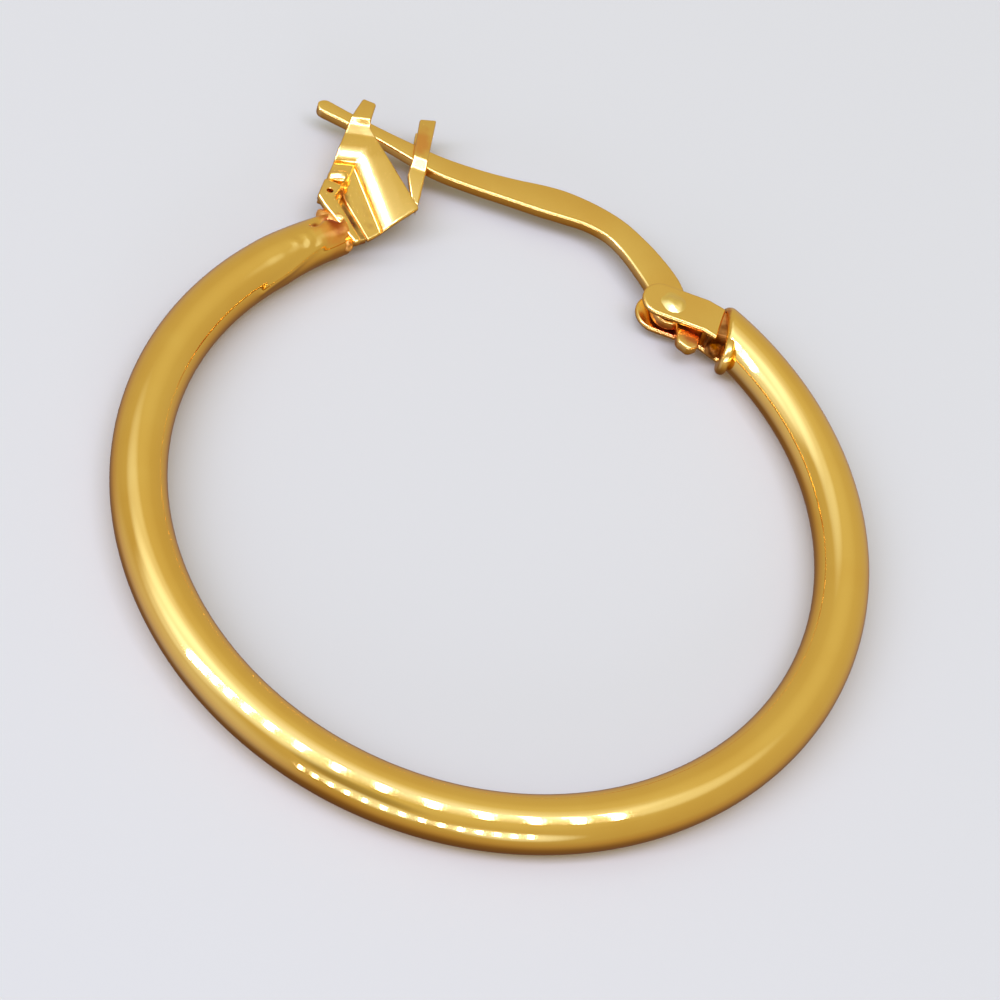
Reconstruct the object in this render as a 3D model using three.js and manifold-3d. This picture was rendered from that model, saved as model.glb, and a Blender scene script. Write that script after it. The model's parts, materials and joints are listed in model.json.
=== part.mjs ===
// A hinged hoop earring in polished yellow gold, lying on its side. Millimetres, +Z up.
// The tube's centre line is a circle round the Z axis, and the gap that the ear goes in faces +Y.
// The post, the hinge fork and the catch lie in one straight closure across that gap. Its own frame has its
// origin at the rivet, +X towards the tube's hinge end and +Y away from the hoop's centre.
import * as THREE from "three";
import { mergeVertices } from "three/addons/utils/BufferGeometryUtils.js";
import Module from "manifold-3d";

const degrees = Math.PI / 180;

const hoop = {
  radius: 11.6, // of the tube's centre line, so 25 mm across outside
  tube: 0.9, // outer radius of the tube
  wall: 0.25,
  sides: 16,
  step: 4.5 * degrees,
  catchEnd: 118.5 * degrees, // where the tube stops, at the catch
  hingeEnd: 52 * degrees, // where it starts before the slanted cut at the collar
  taper: 14 * degrees, // the stretch that narrows towards the catch
  taperTo: 0.84,
  taperShift: 0.1, // its end sits this far outwards
};
const closure = { x: 6.06, y: 8.96, turn: -15 * degrees };
const clearance = 0.02; // between pieces that are riveted together

const fork = {
  ear: 0.22, // thickness of each ear
  gap: 0.66, // between the ears
  end: 1.95,
  shoulder: { x: 1.2, y: 0.71 }, // from here the outer edge slopes down to the collar
};
// The round ends of the ears. The far one is fuller.
const nearEnd = { x: -0.38, y: 0, radius: 0.71 };
const farEnd = { x: -0.3, y: 0.12, radius: 0.83 };
const neck = { from: 1.55, to: 2.4, low: -1.05, high: 0.5, depth: 0.9 };
// The flat collar on the tube's slanted hinge end, proud of the tube on its inner side.
const collar = { x: 2.44, y: -0.41, tilt: 4 * degrees, thickness: 0.36, halfHeight: 1.26, halfDepth: 0.88 };
const vent = { radius: 0.25, y: -0.35 };

const rivet = { shaft: 0.3, head: 0.53, dome: 0.2, eyeClearance: 0.05 };

const post = { thickness: 0.42, eye: 0.66, tip: 0.3 };
// The post's centre line and width, from the rivet to the tip, in the closure's frame.
const postStations = [
  { x: 0, y: 0, width: 1.3 },
  { x: -0.4, y: 0.9, width: 1.3 },
  { x: -1.2, y: 1.72, width: 1.22 },
  { x: -2.02, y: 2.36, width: 1.1 },
  { x: -2.75, y: 2.75, width: 1.08 },
  { x: -3.65, y: 2.96, width: 1.14 },
  { x: -4.65, y: 2.99, width: 1.28 },
  { x: -5.5, y: 2.92, width: 1.26 },
  { x: -6.6, y: 2.8, width: 1.08 },
  { x: -7.9, y: 2.7, width: 0.96 },
  { x: -9.3, y: 2.7, width: 0.88 },
  { x: -10.55, y: 2.92, width: 0.7 },
  { x: -11.65, y: 3.13, width: 0.58 },
  { x: -12.85, y: 3.35, width: 0.55 },
  { x: -13.82, y: 3.53, width: 0.6 },
];
// The heel under the eye, from its outer corner round to the neck's side.
const heel = [
  { x: 0.3, y: -0.4 },
  { x: 0.55, y: -1.3 },
  { x: 1.02, y: -1.5 },
  { x: 1.3, y: -1.25 },
  { x: 1.32, y: -0.3 },
  { x: 0.5, y: 0.2 },
];

// The catch, folded from sheet. Its outlines are in the closure's frame.
const sheet = 0.22;
const cradle = {
  front: 0.65, // the front cheek's face
  back: -0.5,
  notch: 0.54, // width of the slots that the post drops into
  left: -12.6, // the bar runs between the legs
  right: -9.75,
  leftSeat: 2.85, // bottoms of the two slots
  rightSeat: 2.3,
  bar: 0.55, // underside of the bar between the legs
  barHeight: 0.35,
  rightRear: 0.88, // foot of the right leg at its back edge
};
// The base bar on the tube's end, from the corner where it turns up into the left leg.
const baseBar = { x: -12.79, y: -0.955, length: 2.4, heading: -38 * degrees, width: 0.4, depth: 0.3 };
// The cheek is bent along a line that rises from its lower edge; left of it a flange slopes back.
const cheekBend = { x: -10.2, y: -1.39, heading: 125 * degrees };
const cheekProfile = [
  { x: -1.2, y: -0.02 },
  { x: 0, y: 0.65 },
  { x: 2.4, y: 0.65 },
  { x: 2.4, y: 0.43 },
  { x: 0.06, y: 0.43 },
  { x: -1.08, y: -0.21 },
];
const cheekOutline = [
  { x: -10.72, y: -1.85 },
  { x: -10.2, y: -1.39 },
  { x: -9.46, y: 0.02 },
  { x: -12.02, y: 2.82 },
  { x: -12.14, y: 3.87 },
  { x: -12.58, y: 4.02 },
  { x: -12.79, y: 3.4 },
  { x: -12.79, y: 0.9 },
  { x: -12.5, y: 0.9 },
  { x: -12.15, y: -0.24 },
];
const leftLegOutline = [
  { x: -12.79, y: -0.955 },
  { x: -12.39, y: -0.955 },
  { x: -12.39, y: 2.9 },
  { x: -12.16, y: 3.95 },
  { x: -12.58, y: 4.02 },
  { x: -12.79, y: 3.4 },
];
const rightLegOutline = [
  { x: -9.98, y: 0.25 },
  { x: -9.5, y: 0.25 },
  { x: -9.71, y: 2.35 },
  { x: -10.0, y: 4.22 },
  { x: -10.48, y: 4.15 },
  { x: -10.25, y: 2.3 },
];

const gold = { color: 0xd4a548, roughness: 0.18, metalness: 1 };
const findingGold = { color: 0xcd9f45, roughness: 0.26, metalness: 1 };

const wasm = await Module();
wasm.setup();

// A closed geometry as a solid that can be joined and cut.
function solidOf(geometry) {
  const bare = geometry.clone();
  bare.deleteAttribute("normal");
  bare.deleteAttribute("uv");
  const merged = mergeVertices(bare, 1e-4);
  const triVerts = new Uint32Array(merged.index.array);
  const vertProperties = merged.attributes.position.array;
  return new wasm.Manifold(new wasm.Mesh({ numProp: 3, vertProperties, triVerts }));
}

function geometryOf(solid) {
  const { vertProperties, triVerts } = solid.getMesh();
  const geometry = new THREE.BufferGeometry();
  geometry.setAttribute("position", new THREE.BufferAttribute(vertProperties, 3));
  geometry.setIndex(new THREE.BufferAttribute(triVerts, 1));
  return geometry;
}

const join = (solids) => solids.reduce((whole, next) => whole.add(next));

// A flat outline raised from one height to another.
function slab(points, low, high) {
  const shape = new THREE.Shape(points.map(({ x, y }) => new THREE.Vector2(x, y)));
  const geometry = new THREE.ExtrudeGeometry(shape, { depth: high - low, bevelEnabled: false });
  return solidOf(geometry.translate(0, 0, low));
}

function block(low, high) {
  const size = new THREE.Vector3().subVectors(high, low);
  const middle = new THREE.Vector3().addVectors(high, low).multiplyScalar(0.5);
  return solidOf(new THREE.BoxGeometry(size.x, size.y, size.z).translate(middle.x, middle.y, middle.z));
}

// A round bar along Z through a point of the closure.
function pin(radius, x, y, halfLength, sides = 24) {
  const bar = new THREE.CylinderGeometry(radius, radius, 2 * halfLength, sides);
  return solidOf(bar.rotateX(Math.PI / 2).translate(x, y, 0));
}

// The closure's frame, for pieces that are joined to the tube.
const closureFrame = new THREE.Matrix4()
  .makeRotationZ(closure.turn)
  .setPosition(closure.x, closure.y, 0);
const toHoop = (solid) => solid.transform(closureFrame.elements);

class Arc extends THREE.Curve {
  constructor(from, to) {
    super();
    this.from = from;
    this.to = to;
  }
  getPoint(t) {
    const angle = THREE.MathUtils.lerp(this.from, this.to, t);
    return new THREE.Vector3(Math.cos(angle), Math.sin(angle), 0).multiplyScalar(hoop.radius);
  }
}

// A round bar along the hoop, the long way round between two angles, with a flat facet below and above.
function ringBar(radius, from, to) {
  const shape = new THREE.Shape();
  for (let side = 0; side < hoop.sides; side += 1) {
    const angle = ((side + 0.5) / hoop.sides) * 2 * Math.PI;
    const corner = radius / Math.cos(Math.PI / hoop.sides);
    const x = corner * Math.cos(angle);
    const y = corner * Math.sin(angle);
    if (side === 0) shape.moveTo(x, y);
    else shape.lineTo(x, y);
  }
  shape.closePath();
  const steps = Math.round((to - from) / hoop.step);
  const settings = { steps, extrudePath: new Arc(from, to), bevelEnabled: false };
  return new THREE.ExtrudeGeometry(shape, settings);
}

// Draws the bar's section in towards its centre line near the catch.
function taper(geometry) {
  const position = geometry.attributes.position;
  const point = new THREE.Vector3();
  for (let i = 0; i < position.count; i += 1) {
    point.fromBufferAttribute(position, i);
    const angle = Math.atan2(point.y, point.x);
    const past = (angle - (hoop.catchEnd - 2 * Math.PI) + 2 * Math.PI) % (2 * Math.PI);
    const share = 1 - Math.min(1, Math.min(past, 2 * Math.PI - past) / hoop.taper);
    const size = THREE.MathUtils.lerp(1, hoop.taperTo, share);
    const outward = new THREE.Vector3(Math.cos(angle), Math.sin(angle), 0);
    point.addScaledVector(outward, -hoop.radius).multiplyScalar(size);
    point.addScaledVector(outward, hoop.radius + share * hoop.taperShift);
    position.setXYZ(i, point.x, point.y, point.z);
  }
  return geometry;
}

// What lies on the clasp side of the collar's plane, shifted along the closure.
function beforeCollar(shift) {
  const reach = 6;
  const slice = new THREE.BoxGeometry(reach, 2 * reach, 2 * reach)
    .translate(shift - reach / 2, 0, 0)
    .rotateZ(collar.tilt)
    .translate(collar.x, collar.y, 0);
  return toHoop(solidOf(slice));
}

function tube() {
  const end = 2 * Math.PI + hoop.hingeEnd;
  const endWall = sheet / hoop.radius;
  const outer = solidOf(taper(ringBar(hoop.tube, hoop.catchEnd, end)));
  const bore = solidOf(taper(ringBar(hoop.tube - hoop.wall, hoop.catchEnd + endWall, end)));
  return {
    outer: outer.subtract(beforeCollar(0)),
    bore: bore.subtract(beforeCollar(collar.thickness / 2)),
  };
}

// The two ears, the neck and the flat collar on the tube's hinge end.
function hingeFork() {
  const { end, shoulder, gap, ear } = fork;
  const outline = (round) => {
    const points = [];
    for (let step = 0; step <= 12; step += 1) {
      const angle = (0.5 + step / 12) * Math.PI;
      points.push({
        x: round.x + round.radius * Math.cos(angle),
        y: round.y + round.radius * Math.sin(angle),
      });
    }
    return [...points, { x: end, y: -nearEnd.radius }, { x: end, y: 0.42 }, shoulder];
  };
  const inner = gap / 2;
  const ears = [slab(outline(nearEnd), inner, inner + ear), slab(outline(farEnd), -inner - ear, -inner)];
  const neckBlock = block(
    new THREE.Vector3(neck.from, neck.low, -neck.depth / 2),
    new THREE.Vector3(neck.to, neck.high, neck.depth / 2),
  );
  const disc = new THREE.CylinderGeometry(1, 1, collar.thickness, 24)
    .scale(collar.halfHeight, 1, collar.halfDepth)
    .rotateZ(Math.PI / 2 + collar.tilt)
    .translate(collar.x, collar.y, 0);
  return join([...ears, neckBlock, solidOf(disc)]);
}

// A flat outline across the closure, in Y and Z, raised along X.
function wall(points, from, to) {
  const shape = new THREE.Shape(points.map(({ y, z }) => new THREE.Vector2(y, z)));
  const geometry = new THREE.ExtrudeGeometry(shape, { depth: to - from, bevelEnabled: false });
  return solidOf(geometry.rotateX(Math.PI / 2).rotateZ(Math.PI / 2).translate(from, 0, 0));
}

// The folded sheet catch: base bar, cradle with a slot in each leg, and the wide front cheek.
function catchPiece() {
  const { front, back, left, right } = cradle;
  const slot = cradle.notch / 2;
  const tall = 5;
  const bar = block(
    new THREE.Vector3(left, cradle.bar, back),
    new THREE.Vector3(right, cradle.bar + cradle.barHeight, slot),
  );
  const leg = (outline, foot, rear, high) => {
    const side = [
      { y: foot, z: high },
      { y: foot, z: high - baseBar.depth },
      { y: rear, z: back },
      { y: tall, z: back },
      { y: tall, z: high },
    ];
    return wall(side, left - 1, right + 1).intersect(slab(outline, -1, 1));
  };
  const leftLeg = leg(leftLegOutline, baseBar.y, cradle.bar, front);
  const rightLeg = leg(rightLegOutline, rightLegOutline[0].y, cradle.rightRear, -back);
  const base = solidOf(
    new THREE.BoxGeometry(baseBar.length, baseBar.width, baseBar.depth)
      .translate(baseBar.length / 2, baseBar.width / 2, front - baseBar.depth / 2)
      .rotateZ(baseBar.heading)
      .translate(baseBar.x, baseBar.y, 0),
  );
  const length = 8;
  const profile = new THREE.Shape(cheekProfile.map(({ x, y }) => new THREE.Vector2(x, y)));
  const bent = new THREE.ExtrudeGeometry(profile, { depth: length, bevelEnabled: false })
    .rotateX(Math.PI / 2)
    .translate(0, length - 1, 0)
    .rotateZ(cheekBend.heading - Math.PI / 2)
    .translate(cheekBend.x, cheekBend.y, 0);
  const cheek = solidOf(bent).intersect(slab(cheekOutline, 0, 1));
  const notch = (x, seat) =>
    block(new THREE.Vector3(x - 1, seat, -slot), new THREE.Vector3(x + 1, tall, slot));
  return join([base, leftLeg, rightLeg, bar, cheek])
    .subtract(notch(left, cradle.leftSeat))
    .subtract(notch(right, cradle.rightSeat));
}

function hoopBody() {
  const { outer, bore } = tube();
  const holeRadius = rivet.shaft + clearance;
  const ventBar = new THREE.CylinderGeometry(vent.radius, vent.radius, 2, 12)
    .rotateZ(Math.PI / 2)
    .translate(collar.x, vent.y, 0);
  return join([outer, toHoop(hingeFork()), toHoop(catchPiece())])
    .subtract(bore)
    .subtract(toHoop(solidOf(ventBar)))
    .subtract(toHoop(pin(holeRadius, 0, 0, 2)));
}

// The flat strip between the two edges that the stations give, with a round tip.
function postOutline() {
  const centre = new THREE.SplineCurve(postStations.map(({ x, y }) => new THREE.Vector2(x, y)));
  const count = 4 * (postStations.length - 1);
  const [upper, lower] = [[], []];
  for (let step = 0; step <= count; step += 1) {
    const t = step / count;
    const place = t * (postStations.length - 1);
    const from = Math.min(Math.floor(place), postStations.length - 2);
    const half =
      THREE.MathUtils.lerp(postStations[from].width, postStations[from + 1].width, place - from) / 2;
    const middle = centre.getPoint(t);
    const along = centre.getTangent(t);
    upper.push({ x: middle.x + along.y * half, y: middle.y - along.x * half });
    lower.push({ x: middle.x - along.y * half, y: middle.y + along.x * half });
  }
  const end = centre.getPoint(1);
  const heading = centre.getTangent(1).angle();
  const tipSteps = 6;
  const tip = [];
  for (let step = 1; step < tipSteps; step += 1) {
    const angle = heading - Math.PI / 2 + (step / tipSteps) * Math.PI;
    tip.push({ x: end.x + post.tip * Math.cos(angle), y: end.y + post.tip * Math.sin(angle) });
  }
  return [...upper, ...tip, ...lower.reverse()];
}

function earPost() {
  const half = post.thickness / 2;
  const strip = slab(postOutline(), -half, half);
  return join([strip, slab(heel, -half, half), pin(post.eye, 0, 0, half)]).subtract(
    pin(rivet.shaft + rivet.eyeClearance, 0, 0, 2),
  );
}

function hingeRivet() {
  const seat = fork.gap / 2 + fork.ear + clearance;
  const profile = [new THREE.Vector2(0, -seat - rivet.dome)];
  const domeSteps = 5;
  for (let step = 1; step <= domeSteps; step += 1) {
    const angle = (step / domeSteps) * 0.5 * Math.PI;
    profile.push(new THREE.Vector2(rivet.head * Math.sin(angle), -seat - rivet.dome * Math.cos(angle)));
  }
  profile.push(new THREE.Vector2(rivet.shaft, -seat));
  const mirrored = profile.map((point) => new THREE.Vector2(point.x, -point.y)).reverse();
  return solidOf(new THREE.LatheGeometry([...profile, ...mirrored], 24).rotateX(Math.PI / 2));
}

function mesh(name, solid, finish) {
  const made = new THREE.Mesh(geometryOf(solid), new THREE.MeshStandardMaterial(finish));
  made.name = name;
  return made;
}

const earring = new THREE.Group();
const closureGroup = new THREE.Group();
closureGroup.position.set(closure.x, closure.y, 0);
closureGroup.rotation.z = closure.turn;
closureGroup.add(mesh("ear_post", earPost(), findingGold), mesh("hinge_rivet", hingeRivet(), findingGold));
earring.add(mesh("hoop_body", hoopBody(), gold), closureGroup);

// The part's origin is the middle of its underside.
const box = new THREE.Box3().setFromObject(earring);
earring.position.set(-(box.min.x + box.max.x) / 2, -(box.min.y + box.max.y) / 2, -box.min.z);

export default earring;
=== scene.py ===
"""A hinged hoop earring in polished yellow gold, lying on its side on a pale floor."""

import json
import math

import bmesh
import bpy
from mathutils import Matrix, Vector, geometry, noise


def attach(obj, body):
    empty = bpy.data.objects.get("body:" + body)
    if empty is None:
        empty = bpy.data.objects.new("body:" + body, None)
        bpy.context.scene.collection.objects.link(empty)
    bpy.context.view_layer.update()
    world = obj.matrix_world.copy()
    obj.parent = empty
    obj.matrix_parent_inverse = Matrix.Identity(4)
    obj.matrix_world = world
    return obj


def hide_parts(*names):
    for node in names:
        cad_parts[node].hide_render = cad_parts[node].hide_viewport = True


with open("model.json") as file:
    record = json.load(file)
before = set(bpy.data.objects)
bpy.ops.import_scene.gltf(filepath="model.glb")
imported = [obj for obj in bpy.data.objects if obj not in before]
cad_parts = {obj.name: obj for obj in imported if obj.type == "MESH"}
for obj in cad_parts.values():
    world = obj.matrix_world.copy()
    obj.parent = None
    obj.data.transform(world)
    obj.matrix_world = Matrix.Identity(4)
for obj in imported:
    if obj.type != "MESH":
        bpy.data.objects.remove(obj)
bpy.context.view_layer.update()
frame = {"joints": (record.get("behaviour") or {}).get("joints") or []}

# Lengths are in millimetres until a finished piece is placed in the frame.
MM = 0.001
degree = math.pi / 180

HINGE = Vector(frame["joints"][0]["pos_m"])
HINGE_FROM_CENTRE = Vector((6.06, 8.96, 0))
CENTRE = HINGE - HINGE_FROM_CENTRE * MM
CLOSURE_TURN = Matrix.Rotation(-15 * degree, 4, "Z")
CLOSURE_IN_HOOP = Matrix.Translation(HINGE_FROM_CENTRE) @ CLOSURE_TURN
# The closure's own frame starts at the rivet: +X towards the tube's hinge end, +Y away from the hoop.
HOOP_PLACE = Matrix.Translation(CENTRE) @ Matrix.Scale(MM, 4)
CLOSURE_PLACE = Matrix.Translation(HINGE) @ CLOSURE_TURN @ Matrix.Scale(MM, 4)

TUBE = {
    "ring": 11.6,
    "radius": 0.9,
    "sides": 96,
    "steps": 480,
    "catch_end": 118.5 * degree,
    "hinge_end": 52 * degree,
    "taper": 14 * degree,
    "taper_to": 0.84,
    "taper_shift": 0.1,
}
# The slanted cut at the tube's hinge end, and how far its rim is rounded over.
HINGE_CUT = {"x": 1.97, "y": -0.1, "tilt": 3.6 * degree}
END_ROUND = 0.27
# The bead where the cut's rim stands proud on the hoop's inner side.
LIP = {"x": 2.3, "y": -1.04, "thickness": 0.36, "height": 0.64, "depth": 0.74, "edge": 0.165}
EAR = {"thickness": 0.22, "gap": 0.66, "edge": 0.09}
NECK = {"from": 1.5, "to": 2.3, "low": -0.66, "high": 0.5, "depth": 0.98}
SOLDER_SEED = 1
RIVET = {"shaft": 0.3, "head": 0.53, "dome": 0.14, "overlap": 0.02, "dents": 0.05}
POST = {"thickness": 0.42, "edge": 0.09, "eye": 0.66}
# Centre line and width of the post, from the rivet to the tip.
POST_STATIONS = [
    (0, 0, 1.3),
    (-0.4, 0.9, 1.3),
    (-1.2, 1.72, 1.22),
    (-2.02, 2.36, 1.1),
    (-2.75, 2.75, 1.08),
    (-3.65, 2.96, 1.14),
    (-4.65, 2.99, 1.28),
    (-5.5, 2.92, 1.26),
    (-6.6, 2.8, 1.08),
    (-7.9, 2.7, 0.96),
    (-9.3, 2.7, 0.88),
    (-10.55, 2.92, 0.7),
    (-11.65, 3.13, 0.58),
    (-12.85, 3.35, 0.55),
    (-13.82, 3.53, 0.6),
]
SHEET = 0.2
CHEEK_HEIGHT = 0.65
# The cheek's long fold rises to the left, and a short one leaves its top towards the outer edge.
LONG_FOLD = {"at": (-10.28, -1.29), "heading": 125 * degree}
SHORT_FOLD = {"at": (-12.03, 1.22), "heading": 199 * degree}
# Slope of the cheek across a fold, from the flat front to the lower flange, as (distance, slope).
ROLL = [
    (-1.8, 0),
    (-0.6, 0.1),
    (-0.27, 0.36),
    (-0.14, 0.48),
    (0.14, 0.6),
    (0.17, 1.5),
    (0.23, 1.5),
    (0.26, 0),
]
# The tube is a little uneven from hand work over this stretch from its catch end.
WORKED = {"stretch": 24 * degree, "depth": 0.02, "grain": 1.6}
# Dents and ridges near the catch: places on the tube (along, around) in degrees, their reach and height.
TUBE_MARKS = [
    ([(123.8, 74), (122.2, 60), (120.2, 62), (119.2, 84)], 0.13, -0.28),
    ([(126.8, 96), (126.6, 112), (127.2, 128)], 0.1, 0.035),
    ([(129.3, 101), (129.0, 103)], 0.12, 0.03),
    ([(124.4, 133), (131.8, 157), (139.2, 167)], 0.13, 0.04),
]


# Edges sharper than this stay crisp in the shading.
CRISP = 52 * degree


# ---------- materials ----------


def node(tree, kind, **values):
    made = tree.nodes.new(kind)
    for name, value in values.items():
        if name in made.inputs:
            made.inputs[name].default_value = value
        else:
            setattr(made, name, value)
    return made


def redder_patch(tree, place, colour, centre, turn, reach, tone):
    """Mixes a redder tone into the colour around one place, used for heat stains and for painted shade."""
    around = node(tree, "ShaderNodeMapping", vector_type="TEXTURE")
    around.inputs["Location"].default_value = centre
    around.inputs["Rotation"].default_value = (0, 0, turn)
    around.inputs["Scale"].default_value = [length * MM for length in reach]
    tree.links.new(place, around.inputs["Vector"])
    away = node(tree, "ShaderNodeVectorMath", operation="LENGTH")
    tree.links.new(around.outputs["Vector"], away.inputs[0])
    patchy = node(tree, "ShaderNodeTexNoise", Scale=2400.0, Detail=2.0)
    tree.links.new(place, patchy.inputs["Vector"])
    edge = node(tree, "ShaderNodeMath", operation="MULTIPLY_ADD")
    edge.inputs[1].default_value = 0.9
    tree.links.new(patchy.outputs["Fac"], edge.inputs[0])
    tree.links.new(away.outputs["Value"], edge.inputs[2])
    amount = node(tree, "ShaderNodeMapRange", interpolation_type="SMOOTHSTEP")
    amount.inputs["From Min"].default_value = 1.45
    amount.inputs["From Max"].default_value = 0.7
    tree.links.new(edge.outputs["Value"], amount.inputs["Value"])
    mixed = node(tree, "ShaderNodeMix", data_type="RGBA")
    tree.links.new(amount.outputs["Result"], mixed.inputs["Factor"])
    tree.links.new(colour, mixed.inputs[6])
    mixed.inputs[7].default_value = (*tone, 1)
    return mixed.outputs[2]


def polished_gold(name, tone, deep, roughness, scratch, stains_and_shade=()):
    """Yellow gold: cloudy tone, wiped-on gloss, fine polishing lines, heat stains and painted shade."""
    material = bpy.data.materials.new(name)
    material.use_nodes = True
    tree = material.node_tree
    shader = tree.nodes["Principled BSDF"]
    shader.inputs["Metallic"].default_value = 1.0
    link = tree.links.new
    place = node(tree, "ShaderNodeTexCoord")
    cloud = node(tree, "ShaderNodeTexNoise", Scale=260.0, Detail=3.0, Roughness=0.55)
    link(place.outputs["Object"], cloud.inputs["Vector"])
    blend = node(tree, "ShaderNodeMix", data_type="RGBA")
    blend.inputs[6].default_value = (*deep, 1)
    blend.inputs[7].default_value = (*tone, 1)
    spread = node(tree, "ShaderNodeMapRange")
    spread.inputs["From Min"].default_value = 0.3
    spread.inputs["From Max"].default_value = 0.6
    link(cloud.outputs["Fac"], spread.inputs["Value"])
    link(spread.outputs["Result"], blend.inputs["Factor"])
    colour = blend.outputs[2]
    # Redder patches: heat stains, and painted shade in hollows, crevices and along edges.
    for patch_settings in stains_and_shade:
        colour = redder_patch(tree, place.outputs["Object"], colour, *patch_settings)
    link(colour, shader.inputs["Base Color"])
    gloss = node(tree, "ShaderNodeMapRange")
    gloss.inputs["To Min"].default_value = roughness * 0.75
    gloss.inputs["To Max"].default_value = roughness * 1.3
    link(cloud.outputs["Fac"], gloss.inputs["Value"])
    link(gloss.outputs["Result"], shader.inputs["Roughness"])
    stretch = node(tree, "ShaderNodeMapping")
    stretch.inputs["Scale"].default_value = (9000, 1500, 5000)
    stretch.inputs["Rotation"].default_value = (0, 0, 0.5)
    link(place.outputs["Object"], stretch.inputs["Vector"])
    lines = node(tree, "ShaderNodeTexNoise", Scale=1.0, Detail=4.0, Roughness=0.6)
    link(stretch.outputs["Vector"], lines.inputs["Vector"])
    bump = node(tree, "ShaderNodeBump", Strength=scratch, Distance=0.00002)
    link(lines.outputs["Fac"], bump.inputs["Height"])
    link(bump.outputs["Normal"], shader.inputs["Normal"])
    return material


def floor_paper():
    material = bpy.data.materials.new("floor_paper")
    material.use_nodes = True
    shader = material.node_tree.nodes["Principled BSDF"]
    shader.inputs["Base Color"].default_value = (0.49, 0.43, 0.19, 1)
    shader.inputs["Roughness"].default_value = 0.7
    return material


# Redder patches in the gold, for heat stains and for painted shade in dents, grooves, hollows, crevices and
# along edges:
# the place in the closure's frame, the heading, how far the patch reaches along it, across it and upwards,
# and its tone.
TUBE_STAIN_AND_SHADE = [
    # A heat stain on the tube's end, where the catch is soldered on.
    ((-11.75, -2.15, 0.5), 0, (1.15, 1.0, 1.2), (0.95, 0.36, 0.05)),
    # Painted shade in the dent near the catch end and along its edge.
    ((-11.92, -2.0, 0.77), -35, (0.75, 0.4, 0.8), (0.5, 0.09, 0.012)),
    ((-12.45, -2.3, 0.7), 60, (0.3, 0.12, 0.4), (0.5, 0.15, 0.02)),
    # Painted shade on the tube's slanted cut end, in the groove next to the ears.
    ((1.97, -0.1, 0.3), 3.6, (0.12, 1.5, 1.2), (0.6, 0.2, 0.02)),
]
# All painted shade: between the ears and on the post's heel, under the catch, in its crevice and its foot's
# hole, along the cheek's edges, and on the side prong and the post beside it.
FINDING_SHADE = [
    ((0.5, -0.45, -0.12), 0, (1.9, 1.1, 0.46), (0.8, 0.27, 0.045)),
    ((1.1, -0.95, 0.2), 0, (0.7, 0.5, 0.35), (0.6, 0.17, 0.03)),
    ((-11.4, -0.5, -0.3), 0, (2.4, 2.4, 0.32), (0.5, 0.16, 0.04)),
    ((-11.42, -1.02, 0.08), -46, (1.15, 0.24, 0.3), (0.2, 0.05, 0.015)),
    ((-12.46, -0.6, 0.4), 0, (0.16, 0.16, 0.3), (0.2, 0.05, 0.015)),
    ((-11.95, -0.3, 0.2), -46, (0.7, 0.3, 0.3), (0.3, 0.07, 0.01)),
    ((-10.67, 1.51, 0.5), 134.6, (2.1, 0.13, 0.3), (0.3, 0.07, 0.02)),
    ((-10.15, 3.1, 0.5), 97, (1.1, 0.42, 0.5), (0.88, 0.38, 0.06)),
    ((-12.84, 3.1, 0.8), 95, (0.9, 0.06, 0.5), (0.5, 0.13, 0.03)),
]
# Painted shade that darkens the hinge's solder almost to brown, for the hollow under the hinge.
NECK_SHADE = [((1.9, -0.4, 0.0), 0, (1.0, 1.6, 1.0), (0.16, 0.035, 0.0))]


def in_frame(stains_and_shade):
    turned_by = CLOSURE_TURN.to_euler().z
    return [
        (CLOSURE_PLACE @ Vector(centre), heading * degree + turned_by, reach, tone)
        for centre, heading, reach, tone in stains_and_shade
    ]


TUBE_GOLD = polished_gold(
    "tube_gold", (0.95, 0.57, 0.095), (0.90, 0.51, 0.075), 0.055, 0.03, in_frame(TUBE_STAIN_AND_SHADE)
)
# Redder gold for the solder; at the hinge it is darkened further by painted shade.
SOLDER_GOLD = polished_gold(
    "solder_gold", (0.90, 0.45, 0.07), (0.80, 0.32, 0.04), 0.5, 0.3, in_frame(NECK_SHADE)
)
FINDING_GOLD = polished_gold(
    "finding_gold", (0.93, 0.56, 0.095), (0.88, 0.49, 0.075), 0.2, 0.18, in_frame(FINDING_SHADE)
)
# The rivet's gold is lighter and yellower than the ears': a painted sheen on its domed heads.
RIVET_GOLD = polished_gold("rivet_gold", (0.98, 0.68, 0.14), (0.93, 0.56, 0.09), 0.24, 0.15)


# ---------- shaping ----------


def piece(bm, name, place, material, slot, body, *cad_nodes):
    bm.transform(place)
    bmesh.ops.recalc_face_normals(bm, faces=bm.faces)
    mesh = bpy.data.meshes.new(name)
    bm.to_mesh(mesh)
    bm.free()
    mesh.shade_smooth()
    mesh.set_sharp_from_angle(angle=CRISP)
    mesh.materials.append(material)
    made = bpy.data.objects.new(name, mesh)
    bpy.context.scene.collection.objects.link(made)
    made.modifiers.new("even_shading", "WEIGHTED_NORMAL").keep_sharp = True
    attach(made, body)
    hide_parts(*cad_nodes)
    return made


def gather(parts):
    """Several shells in one mesh."""
    whole = bmesh.new()
    for part in parts:
        mesh = bpy.data.meshes.new("part")
        part.to_mesh(mesh)
        part.free()
        whole.from_mesh(mesh)
        bpy.data.meshes.remove(mesh)
    return whole


def soften(bm, edge, segments=4, angle=40 * degree):
    """Rounds every edge that is sharper than the angle."""
    bm.normal_update()
    sharp = [e for e in bm.edges if len(e.link_faces) == 2 and e.calc_face_angle(0) > angle]
    bmesh.ops.bevel(
        bm,
        geom=sharp,
        offset=edge,
        offset_type="OFFSET",
        segments=segments,
        profile=0.5,
        affect="EDGES",
        material=-1,
        clamp_overlap=True,
    )


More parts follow.
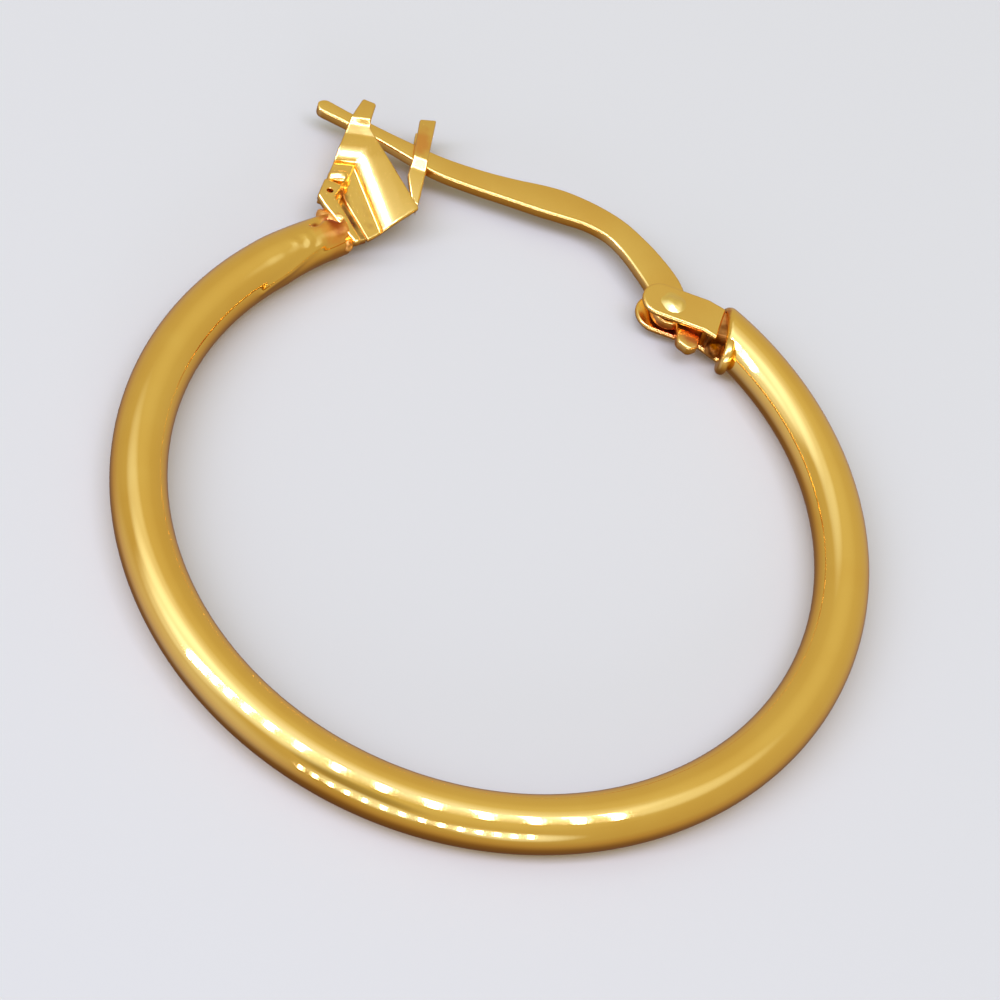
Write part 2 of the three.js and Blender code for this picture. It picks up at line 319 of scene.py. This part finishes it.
def plate(corners, low, high, edge, corner_radii=()):
    """A flat plate with round corners where a radius is given, and soft edges."""
    bm = bmesh.new()
    outline = [bm.verts.new((x, y, low)) for x, y in corners]
    bm.faces.new(outline)
    for vert, radius in zip(outline, corner_radii):
        if radius:
            bmesh.ops.bevel(
                bm, geom=[vert], offset=radius, segments=14, profile=0.5, affect="VERTICES", material=-1
            )
    raised = bmesh.ops.extrude_face_region(bm, geom=bm.faces[:])
    top = [v for v in raised["geom"] if isinstance(v, bmesh.types.BMVert)]
    bmesh.ops.translate(bm, verts=top, vec=(0, 0, high - low))
    soften(bm, edge)
    return bm


def block(low, high, edge):
    bm = bmesh.new()
    low, high = Vector(low), Vector(high)
    place = Matrix.Translation((low + high) / 2) @ Matrix.Diagonal((*(high - low), 1))
    bmesh.ops.create_cube(bm, size=1, matrix=place)
    soften(bm, edge)
    return bm


def turned(profile, steps=64):
    """A solid turned round the Z axis from (radius, height) points that start and end on the axis."""
    bm = bmesh.new()
    verts = [bm.verts.new((radius, 0, height)) for radius, height in profile]
    for a, b in zip(verts, verts[1:]):
        bm.edges.new((a, b))
    bmesh.ops.spin(
        bm, geom=bm.verts[:] + bm.edges[:], cent=(0, 0, 0), axis=(0, 0, 1), angle=2 * math.pi, steps=steps,
        use_merge=True,
    )
    bmesh.ops.remove_doubles(bm, verts=bm.verts, dist=1e-5)
    return bm


# ---------- the hoop ----------


def on_tube(along, around):
    """A point on the round tube, from the angles along and around it."""
    outward = Vector((math.cos(along * degree), math.sin(along * degree), 0))
    return outward * (TUBE["ring"] + TUBE["radius"] * math.cos(around * degree)) + Vector(
        (0, 0, TUBE["radius"] * math.sin(around * degree))
    )


def mark_height(point, path, reach, height):
    """How much one dent or ridge moves the tube's surface at a point."""
    away = reach * 3
    for a, b in zip(path, path[1:]):
        start, end = on_tube(*a), on_tube(*b)
        nearest, share = geometry.intersect_point_line(point, start, end)
        nearest = start.lerp(end, min(1, max(0, share)))
        away = min(away, (point - nearest).length)
    return height * math.exp(-((away / reach) ** 2))


def round_tube():
    """The plain round tube, from the catch end the long way round to the hinge end."""
    bm = bmesh.new()
    section = (
        Matrix.Rotation(TUBE["catch_end"], 4, "Z")
        @ Matrix.Translation((TUBE["ring"], 0, 0))
        @ Matrix.Rotation(math.pi / 2, 4, "X")
    )
    bmesh.ops.create_circle(bm, segments=TUBE["sides"], radius=TUBE["radius"], matrix=section)
    sweep = 2 * math.pi + TUBE["hinge_end"] - TUBE["catch_end"]
    bmesh.ops.spin(
        bm, geom=bm.verts[:] + bm.edges[:], cent=(0, 0, 0), axis=(0, 0, 1), angle=sweep, steps=TUBE["steps"]
    )
    return bm


def taper_and_mark(bm):
    """Narrows the tube towards its catch end and leaves the marks of hand work there."""
    for vert in bm.verts:
        angle = math.atan2(vert.co.y, vert.co.x)
        past = (angle - TUBE["catch_end"]) % (2 * math.pi)
        share = 1 - min(1, min(past, 2 * math.pi - past) / TUBE["taper"])
        outward = Vector((math.cos(angle), math.sin(angle), 0))
        from_line = vert.co - outward * TUBE["ring"]
        if past < WORKED["stretch"]:
            fade = 1 - past / WORKED["stretch"]
            worked = WORKED["depth"] * fade * noise.noise(vert.co * WORKED["grain"])
            marks = sum(mark_height(vert.co, *mark) for mark in TUBE_MARKS)
            from_line *= 1 + (worked + marks) / TUBE["radius"]
        size = 1 + (TUBE["taper_to"] - 1) * share
        vert.co = from_line * size + outward * (TUBE["ring"] + share * TUBE["taper_shift"])


def by_the_hinge(vert):
    return vert.co.x > 0 and vert.co.y > 0


def cut_hinge_end(bm):
    """Cuts the tube off on a slant at the hinge, and rounds its rim over in small steps."""
    cut = CLOSURE_IN_HOOP @ Vector((HINGE_CUT["x"], HINGE_CUT["y"], 0))
    facing = (CLOSURE_TURN @ Matrix.Rotation(HINGE_CUT["tilt"], 4, "Z")) @ Vector((1, 0, 0))
    near = [v for v in bm.verts if by_the_hinge(v)]
    near += [e for e in bm.edges if any(by_the_hinge(v) for v in e.verts)]
    near += [f for f in bm.faces if any(by_the_hinge(v) for v in f.verts)]
    bmesh.ops.bisect_plane(bm, geom=near, dist=1e-5, plane_co=cut, plane_no=facing, clear_inner=True)
    for turn in range(15, 91, 15):
        bmesh.ops.bisect_plane(
            bm, geom=bm.verts[:] + bm.edges[:] + bm.faces[:], dist=1e-5, plane_no=facing,
            plane_co=cut + facing * END_ROUND * (1 - math.cos(turn * degree)),
        )
    for vert in bm.verts:
        inwards = (vert.co - cut).dot(facing)
        if by_the_hinge(vert) and inwards < END_ROUND:
            short = END_ROUND - max(0, inwards)
            sunk = END_ROUND - math.sqrt(max(0, END_ROUND**2 - short**2))
            line = Vector((vert.co.x, vert.co.y, 0)).normalized() * (TUBE["ring"] + TUBE["taper_shift"])
            vert.co = line + (vert.co - line) * (1 - sunk / TUBE["radius"])


def hoop_tube():
    bm = round_tube()
    taper_and_mark(bm)
    cut_hinge_end(bm)
    bmesh.ops.holes_fill(bm, edges=[e for e in bm.edges if e.is_boundary])
    soften(bm, 0.07, segments=3, angle=50 * degree)
    return piece(bm, "hoop_tube", HOOP_PLACE, TUBE_GOLD, "polished_gold", "hoop", "hoop_body")


def hinge_fork():
    """The two ears and the lip, with the rivet's axis at the middle of the closure's frame."""
    lip = bmesh.new()
    bmesh.ops.create_cone(lip, cap_ends=True, segments=72, radius1=1, radius2=1, depth=LIP["thickness"])
    bmesh.ops.scale(lip, verts=lip.verts, vec=(LIP["depth"], LIP["height"], 1))
    upright = Matrix.Rotation(HINGE_CUT["tilt"], 4, "Z") @ Matrix.Rotation(math.pi / 2, 4, "Y")
    lip.transform(Matrix.Translation((LIP["x"], LIP["y"], 0)) @ upright)
    soften(lip, LIP["edge"], segments=6)
    inner = EAR["gap"] / 2
    outer = inner + EAR["thickness"]
    near = plate(
        [(-1.09, 0.71), (-1.09, -0.71), (1.3, -0.71), (1.8, -0.86), (1.86, 0.55), (1.2, 0.71)],
        inner, outer, EAR["edge"], (0.7, 0.7),
    )
    far = plate(
        [(-1.13, 0.95), (-1.13, -0.71), (1.3, -0.71), (2.3, -1.1), (2.3, 0.5), (1.2, 0.71), (0.4, 0.95)],
        -outer, -inner, EAR["edge"], (0.82, 0.82),
    )
    fork = gather([lip, near, far])
    return piece(fork, "hinge_fork", CLOSURE_PLACE, FINDING_GOLD, "finding_gold", "hoop", "hoop_body")


def hinge_solder():
    """The solder that joins both ears to the tube's end, a little below their faces."""
    # Without a seed the noise starts from the clock, and the solder's dents differ on each run.
    noise.seed_set(SOLDER_SEED)
    half = NECK["depth"] / 2
    upper = block((NECK["from"], NECK["low"], -half), (NECK["to"], NECK["high"], half), 0.12)
    neck = gather([upper, solder_lump((1.9, -0.72, -0.2), 8, (0.33, 0.34, 0.34))])
    bmesh.ops.subdivide_edges(neck, edges=neck.edges[:], cuts=3, use_grid_fill=True)
    for vert in neck.verts:
        vert.co += 0.03 * noise.noise_vector(vert.co * 2.2)
    return piece(neck, "hinge_solder", CLOSURE_PLACE, SOLDER_GOLD, "finding_gold", "hoop", "hoop_body")


def hinge_rivet():
    """Both heads are hammered low, so their rims run into the ears."""
    seat = EAR["gap"] / 2 + EAR["thickness"]
    rim = RIVET["overlap"] - seat
    neck = seat - 2 * RIVET["overlap"]
    shares = [k / 14 for k in range(15)]
    low = [(RIVET["head"] * share, rim - RIVET["dome"] * (1 - share**2) ** 1.5) for share in shares]
    high = [(radius, -height) for radius, height in reversed(low)]
    rivet = turned([*low, (RIVET["shaft"], -neck), (RIVET["shaft"], neck), *high])
    for vert in rivet.verts:
        from_rim = min(1, 2.5 * max(0, 1 - vert.co.xy.length / RIVET["head"]))
        vert.co.z += math.copysign(RIVET["dents"], vert.co.z) * from_rim * noise.noise(vert.co * 2.6)
    return piece(rivet, "hinge_rivet", CLOSURE_PLACE, RIVET_GOLD, "finding_gold", "hoop", "hinge_rivet")


# ---------- the ear post ----------


def along(stations, t):
    """Catmull-Rom through the stations: the centre, the heading and the width at t from 0 to 1."""
    place = t * (len(stations) - 1)
    k = min(int(place), len(stations) - 2)
    u = place - k
    before, a, b, after = (Vector(stations[min(max(i, 0), len(stations) - 1)]) for i in range(k - 1, k + 3))
    flat = 0.5 * (
        2 * a + (b - before) * u + (2 * before - 5 * a + 4 * b - after) * u**2
        + (3 * a - before - 3 * b + after) * u**3
    )
    slope = 0.5 * (
        (b - before) + 2 * (2 * before - 5 * a + 4 * b - after) * u
        + 3 * (3 * a - before - 3 * b + after) * u**2
    )
    return flat, Vector((slope.x, slope.y)).normalized()


def ring_across(bm, centre, heading, width, thickness, edge):
    """A rounded rectangle across the strip, as a closed loop of edges."""
    sides = 40
    edge = min(edge, width * 0.45, thickness * 0.45)
    made = bmesh.ops.create_circle(bm, segments=sides, radius=1)
    for vert in made["verts"]:
        turn = math.atan2(vert.co.y, vert.co.x) + math.pi / sides
        c, s = math.cos(turn), math.sin(turn)
        across = math.copysign(width / 2 - edge, c) + edge * c
        up = math.copysign(thickness / 2 - edge, s) + edge * s
        vert.co = (centre.x - heading.y * across, centre.y + heading.x * across, up)
    return list(dict.fromkeys(e for v in made["verts"] for e in v.link_edges))


def post_strip():
    bm = bmesh.new()
    steps = 120
    tip_steps = 10
    rings = []
    for k in range(steps + 1):
        flat, heading = along(POST_STATIONS, k / steps)
        rings.append(ring_across(bm, flat, heading, flat.z, POST["thickness"], POST["edge"]))
    end, heading = along(POST_STATIONS, 1)
    for k in range(1, tip_steps):
        turn = k / tip_steps * math.pi / 2
        centre = Vector((end.x, end.y)) + heading * end.z / 2 * math.sin(turn)
        width = end.z * math.cos(turn)
        rings.append(ring_across(bm, centre, heading, width, POST["thickness"], POST["edge"]))
    for a, b in zip(rings, rings[1:]):
        bmesh.ops.bridge_loops(bm, edges=a + b)
    bmesh.ops.holes_fill(bm, edges=[e for e in bm.edges if e.is_boundary])
    return bm


def ear_post():
    half = POST["thickness"] / 2
    eye = bmesh.new()
    bmesh.ops.create_cone(
        eye, cap_ends=True, segments=48, radius1=POST["eye"], radius2=POST["eye"], depth=2 * half
    )
    soften(eye, POST["edge"])
    heel = plate(
        [(0.3, -0.4), (0.55, -1.3), (1.02, -1.5), (1.3, -1.25), (1.32, -0.3), (0.5, 0.2)],
        -half, half, POST["edge"], (0, 0.12, 0.12, 0.1),
    )
    whole = gather([post_strip(), eye, heel])
    return piece(whole, "ear_post", CLOSURE_PLACE, FINDING_GOLD, "finding_gold", "post", "ear_post")


# ---------- the catch ----------


def flat_sheet(outline, thickness, edge, cuts, corner_radii=()):
    """A flat sheet with a soft rim, cut along lines (point, heading) so that it can be bent there."""
    bm = plate(outline, -thickness, 0, edge, corner_radii)
    for (x, y), heading in cuts:
        across = Vector((-math.sin(heading), math.cos(heading), 0))
        bmesh.ops.bisect_plane(
            bm, geom=bm.verts[:] + bm.edges[:] + bm.faces[:], dist=1e-4, plane_co=(x, y, 0), plane_no=across
        )
    return bm


# How far a point of a bent sheet moves along the sheet for each millimetre that the bends lower it.
DRAWN_IN = Vector((0.04, 0.753, 0))


def bend(bm, height, outline_height):
    """Lifts a flat sheet to its height; what lies lower than the outline's height is drawn in."""
    for vert in bm.verts:
        raised = height(vert.co)
        vert.co += DRAWN_IN * (outline_height - raised) + Vector((0, 0, raised))
    return bm


def past_fold(point, fold):
    """How far a point lies on the left of a fold line."""
    heading = fold["heading"]
    left = Vector((-math.sin(heading), math.cos(heading)))
    return (Vector((point.x, point.y)) - Vector(fold["at"])).dot(left)


def rolled(distance):
    """How far the cheek has dropped at a distance past a fold, from the slopes in ROLL."""
    dropped = 0
    for (a, low), (b, high) in zip(ROLL, ROLL[1:]):
        reach = min(max(distance, a), b) - a
        dropped += reach * (low + (high - low) * reach / (b - a) / 2)
    return dropped


def between(value, steps):
    for (a, low), (b, high) in zip(steps, steps[1:]):
        if value < b:
            return low + (high - low) * max(0, value - a) / (b - a)
    return steps[-1][1]


def stepped(value, steps):
    """Height of a strip that was bent at a few lines, nearly straight between them."""
    nearby = [between(value + 0.012 * k, steps) for k in range(-4, 5)]
    return sum(nearby) / len(nearby)


# Heights of the prongs, as (distance along, height).
NEAR_PRONG = [(2.3, 0), (2.78, 0.11), (3.1, 0.26), (4.1, 0.22)]
SIDE_PRONG = [(0.2, 0.16), (1.9, 0.32), (2.42, 0.56), (4.6, 0.4)]


def cheek_height(point):
    """The front cheek leans, rolls over at its two folds and bends outwards where its prong starts."""
    long_way, short_way = past_fold(point, LONG_FOLD), past_fold(point, SHORT_FOLD)
    lean = rolled(min(long_way, ROLL[1][0]))
    flange = max(0, min(rolled(long_way), rolled(short_way)) - rolled(ROLL[1][0]))
    rise = 0.066 * min(0, (point.xy - Vector(SHORT_FOLD["at"])).dot(Vector((-0.574, 0.819))))
    return CHEEK_HEIGHT + rise - lean - flange + stepped(point.y - 0.3 * (point.x + 12.35), NEAR_PRONG)


def fold_cuts(fold, steps):
    heading = fold["heading"]
    left = Vector((-math.sin(heading), math.cos(heading)))
    return [(Vector(fold["at"]) + left * step, heading) for step in steps]


def catch_cheek():
    """The wide front cheek, its lower flange and the prong, one bent sheet."""
    outline = [
        (-10.69, -2.1),
        (-10.12, -1.2),
        (-9.4, 0.06),
        (-11.98, 2.8),
        (-12.07, 3.12),
        (-12.13, 4.0),
        (-12.64, 4.03),
        (-12.77, 3.05),
        (-12.79, 2.3),
        (-12.79, 0.62),
        (-12.38, 0.6),
        (-12.34, -0.3),
        (-12.08, -0.62),
    ]
    band = [-0.6, -0.52, -0.44, -0.36, -0.27, -0.2, -0.14, -0.05, 0.05, 0.14, 0.17, 0.2, 0.23, 0.26, 0.3]
    flat_part = [-2.1, -1.8, -1.5, -1.2, -0.9, -0.75]
    cuts = fold_cuts(LONG_FOLD, [*flat_part, *band])
    cuts += fold_cuts(SHORT_FOLD, band) + [(SHORT_FOLD["at"], 252 * degree)]
    prong_way = 16.7 * degree
    cuts += [((-12.35, 2.2 + 0.045 * k), prong_way) for k in range(24)]
    return bend(flat_sheet(outline, SHEET, 0.08, cuts), cheek_height, CHEEK_HEIGHT)


def drilled(bm, at, radius, depth):
    """Sinks a blind hole into a flat face that looks up."""
    for k in range(4):
        side = Matrix.Rotation(k * 90 * degree, 3, "Z") @ Vector((1, 0, 0))
        bmesh.ops.bisect_plane(
            bm, geom=bm.verts[:] + bm.edges[:] + bm.faces[:], dist=1e-5, plane_co=at + side * radius * 1.2,
            plane_no=side,
        )
    face = min(bm.faces, key=lambda f: (f.calc_center_median() - at).length)
    bmesh.ops.subdivide_edges(bm, edges=face.edges[:], cuts=4)
    face = min(bm.faces, key=lambda f: (f.calc_center_median() - at).length)
    bmesh.ops.inset_region(bm, faces=[face], thickness=radius * 0.1)
    for sunk, share in ((0, 1), (0.02, 0.88), (0.06, 0.82), (depth, 0.8), (depth, 0.3)):
        if sunk:
            bottom = bmesh.ops.extrude_discrete_faces(bm, faces=[face])["faces"]
            face = bottom[0]
        for vert in face.verts:
            from_axis = (vert.co - at).xy.normalized() * radius * share
            vert.co = (at.x + from_axis.x, at.y + from_axis.y, at.z - sunk)


def catch_root():
    """The small curled foot at the catch's outer side, with a drilled dimple."""
    outline = [
        (-12.79, -0.97),
        (-12.47, -1.29),
        (-10.97, -2.46),
        (-10.8, -2.27),
        (-12.22, -0.76),
        (-12.14, -0.14),
        (-12.79, -0.12),
    ]
    foot = plate(outline, 0.32, 0.62, 0.08, (0, 0.1, 0.12, 0.08))
    drilled(foot, Vector((-12.46, -0.6, 0.62)), 0.125, 0.24)
    curl = block((-0.38, -0.23, 0.1), (0.36, 0.25, 0.76), 0.19)
    leaning = Matrix.Rotation(24 * degree, 4, Vector((0.574, -0.819, 0)))
    curl.transform(Matrix.Translation((-12.2, 0.3, 0)) @ leaning @ Matrix.Rotation(8 * degree, 4, "Z"))
    back = block((-12.78, -0.85, 0.0), (-12.05, 1.3, 0.22), 0.05)
    under = block((-0.3, -0.2, -0.3), (1.8, 0.35, -0.02), 0.05)
    under.transform(Matrix.Translation((-12.2, -0.5, 0)) @ Matrix.Rotation(-46 * degree, 4, "Z"))
    return [foot, curl, back, under]


def prong(outline, steps, thickness):
    """A narrow prong cut from sheet and bent at a few lines across it."""
    bm = flat_sheet(outline, thickness, 0.07, [((0, 1.7 + 0.045 * k), 0) for k in range(22)])
    return bend(bm, lambda point: stepped(point.y, steps), 0.5)


def catch_legs():
    side = [
        (-9.78, 0.42),
        (-9.5, 0.3),
        (-9.52, 0.72),
        (-9.73, 2.55),
        (-9.98, 4.46),
        (-10.54, 4.24),
        (-10.25, 2.4),
        (-10.22, 1.5),
    ]
    near = prong(side, SIDE_PRONG, 0.2)
    rear_side = plate([(x, max(y, 0.7)) for x, y in side[1:7]], -0.5, -0.28, 0.05)
    outer = [(-12.79, 0.55), (-12.42, 0.55), (-12.4, 2.9), (-12.2, 3.9), (-12.55, 3.95), (-12.79, 3.4)]
    rear_outer = plate(outer, -0.5, -0.28, 0.05)
    wall = block((-12.77, 0.57, -0.48), (-12.5, 1.25, 0.2), 0.06)
    bar = block((-12.6, 0.57, -0.48), (-9.75, 0.9, 0.1), 0.06)
    return [near, rear_side, rear_outer, wall, bar]


def ear_catch():
    whole = gather([catch_cheek(), *catch_root(), *catch_legs()])
    return piece(whole, "ear_catch", CLOSURE_PLACE, FINDING_GOLD, "finding_gold", "hoop", "hoop_body")


def solder_lump(at, heading, size):
    """A lumpy bead of solder, with its half sizes along its heading, across it and upwards."""
    bm = bmesh.new()
    bmesh.ops.create_icosphere(bm, subdivisions=4, radius=1)
    for vert in bm.verts:
        vert.co *= 1 + 0.14 * noise.noise(vert.co * 2.1 + Vector(at))
    turn = Matrix.Rotation(heading * degree, 4, "Z")
    bm.transform(Matrix.Translation(at) @ turn @ Matrix.Diagonal((*size, 1)))
    return bm


def catch_solder():
    """The lumpy solder that holds the catch on the tube's end."""
    lumps = [
        solder_lump((-11.9, -1.72, 0.0), -40, (0.85, 0.4, 0.6)),
        solder_lump((-11.6, -1.95, 0.12), -40, (0.66, 0.3, 0.42)),
    ]
    return piece(
        gather(lumps), "catch_solder", CLOSURE_PLACE, SOLDER_GOLD, "polished_gold", "hoop", "hoop_body"
    )


# ---------- room, light and camera ----------

# Angles in degrees, the distance from the hoop's middle and the lens in millimetres.
VIEW = {"azimuth": -18.1, "elevation": 52.95, "roll": 22.2, "distance": 77.1, "lens": 86.0}


def floor():
    bm = bmesh.new()
    bmesh.ops.create_grid(bm, x_segments=1, y_segments=1, size=1.5)
    mesh = bpy.data.meshes.new("floor")
    bm.to_mesh(mesh)
    bm.free()
    mesh.materials.append(floor_paper())
    made = bpy.data.objects.new("floor", mesh)
    bpy.context.scene.collection.objects.link(made)
    made.visible_glossy = False


# Tint of the lamps, and of the soft lights of the studio tent.
COOL = (1.0, 1.12, 3.2)
GLOW_TINT = (1.0, 1.65, 5.5)
# Rows of small lamps: the first and last place from the hoop's middle, the count, the size and the strength.
LAMP_ROWS = [
    ("lamp", (-0.77, -0.18, 0.5), (0.35, -0.14, 0.71), 15, (0.018, 0.46), 20),
    ("front_lamp", (-0.60, -0.80, 0.04), (0.31, -0.95, 0.26), 14, (0.013, 0.28), 20),
]
# Lamps that reach the catch alone: the place, the size and the strength.
CATCH_LAMPS = [
    ("catch_lamp", (-0.6, 0.29, 0.75), (0.34, 0.34), 14),
    ("fold_lamp", (0.25, -0.33, 0.91), (0.3, 0.3), 9),
]


def view_direction():
    a, e = VIEW["azimuth"] * degree, VIEW["elevation"] * degree
    return Vector((math.sin(a) * math.cos(e), -math.cos(a) * math.cos(e), math.sin(e)))


def lamp(name, spot, size, radiance):
    """A soft lamp that faces the hoop; its second size runs across its image on the tube."""
    data = bpy.data.lights.new(name, "AREA")
    data.shape = "RECTANGLE"
    data.size, data.size_y = size[0] * spot.length, size[1] * spot.length
    data.energy = radiance * math.pi * data.size * data.size_y
    data.color = COOL
    towards, view = spot.normalized(), view_direction()
    shown_at = (towards + view).normalized()
    up = (Vector((0, 0, 1)) - shown_at * shown_at.z).normalized()
    across = (shown_at * up.dot(view) + up * shown_at.dot(view)).normalized()
    made = bpy.data.objects.new(name, data)
    made.matrix_world = Matrix.Translation(CENTRE + spot) @ Matrix(
        (across.cross(towards), across, towards)
    ).transposed().to_4x4()
    made.visible_camera = False
    bpy.context.scene.collection.objects.link(made)
    return made


def lamp_row(name, start, end, count, size, radiance):
    """A row of small lamps, seen as dots on the polished tube."""
    for k in range(count):
        lamp(f"{name}_{k + 1}", Vector(start).lerp(Vector(end), k / (count - 1)), size, radiance)


def lamp_for(target, name, spot, size, radiance):
    """A lamp with flags round it, so that it reaches only one piece."""
    reached = bpy.data.collections.new(name)
    reached.objects.link(target)
    lamp(name, Vector(spot), size, radiance).light_linking.receiver_collection = reached


# Soft lights of the studio tent: azimuth from +X, elevation, inner and outer reach in degrees, and strength.
GLOWS = [
    (192, 52, 12, 34, 0.5),
    (190, 26, 6, 24, 0.3),
    (146, 52, 8, 26, 0.22),
    (350, 62, 6, 22, 0.22),
    (250, 11, 6, 20, 0.4),
    (282, 11, 6, 20, 0.4),
    (195, -18, 12, 46, 0.12),
    (245, 38, 4, 18, -0.22),
]
# Brightness from straight down to straight up, as (sine of the elevation, tone).
SKY = [
    (-1.0, (0.13, 0.08, 0.06)),
    (-0.77, (0.22, 0.15, 0.12)),
    (-0.45, (0.46, 0.38, 0.34)),
    (-0.1, (0.56, 0.54, 0.53)),
    (0.6, (0.62, 0.62, 0.62)),
    (0.87, (0.72, 0.76, 0.85)),
    (0.95, (0.92, 1.08, 1.9)),
    (0.99, (1.1, 1.4, 3.4)),
]


def studio(catch):
    world = bpy.data.worlds.new("studio")
    world.use_nodes = True
    tree = world.node_tree
    link = tree.links.new
    place = tree.nodes.new("ShaderNodeTexCoord")
    parts = tree.nodes.new("ShaderNodeSeparateXYZ")
    link(place.outputs["Generated"], parts.inputs["Vector"])
    height = tree.nodes.new("ShaderNodeMapRange")
    height.inputs["From Min"].default_value = -1
    link(parts.outputs["Z"], height.inputs["Value"])
    ramp = tree.nodes.new("ShaderNodeValToRGB")
    link(height.outputs["Result"], ramp.inputs["Fac"])
    steps = ramp.color_ramp.elements
    while len(steps) < len(SKY):
        steps.new(0.5)
    for step, (sine, tone) in zip(steps, SKY):
        step.position = (sine + 1) / 2
        step.color = (*tone, 1)
    total = ramp.outputs["Color"]
    for azimuth, elevation, inner, outer, strength in GLOWS:
        a, e = azimuth * degree, elevation * degree
        towards = node(tree, "ShaderNodeVectorMath", operation="DOT_PRODUCT")
        towards.inputs[1].default_value = (math.cos(a) * math.cos(e), math.sin(a) * math.cos(e), math.sin(e))
        link(place.outputs["Generated"], towards.inputs[0])
        share = node(tree, "ShaderNodeMapRange", interpolation_type="SMOOTHSTEP")
        share.inputs["From Min"].default_value = math.cos(outer * degree)
        share.inputs["From Max"].default_value = math.cos(inner * degree)
        share.inputs["To Max"].default_value = strength
        link(towards.outputs["Value"], share.inputs["Value"])
        cool = node(tree, "ShaderNodeVectorMath", operation="SCALE")
        cool.inputs[0].default_value = GLOW_TINT if strength > 0 else (1, 1, 1)
        link(share.outputs["Result"], cool.inputs["Scale"])
        both = node(tree, "ShaderNodeVectorMath", operation="ADD")
        link(total, both.inputs[0])
        link(cool.outputs["Vector"], both.inputs[1])
        total = both.outputs["Vector"]
    link(total, tree.nodes["Background"].inputs["Color"])
    bpy.context.scene.world = world
    bpy.context.scene.view_settings.view_transform = "Standard"
    for row in LAMP_ROWS:
        lamp_row(*row)
    for settings in CATCH_LAMPS:
        lamp_for(catch, *settings)


def camera():
    back = view_direction()
    right = Vector((0, 0, 1)).cross(back).normalized()
    turn = Matrix((right, back.cross(right), back)).transposed().to_4x4()
    data = bpy.data.cameras.new("camera")
    data.lens = VIEW["lens"]
    data.sensor_width = 36
    data.clip_start, data.clip_end = 0.001, 10
    made = bpy.data.objects.new("camera", data)
    made.matrix_world = (
        Matrix.Translation(CENTRE + back * VIEW["distance"] * MM)
        @ turn
        @ Matrix.Rotation(VIEW["roll"] * degree, 4, "Z")
    )
    bpy.context.scene.collection.objects.link(made)
    bpy.context.scene.camera = made


camera()
hoop_tube()
hinge_fork()
hinge_solder()
hinge_rivet()
ear_post()
catch = ear_catch()
catch_solder()
floor()
studio(catch)
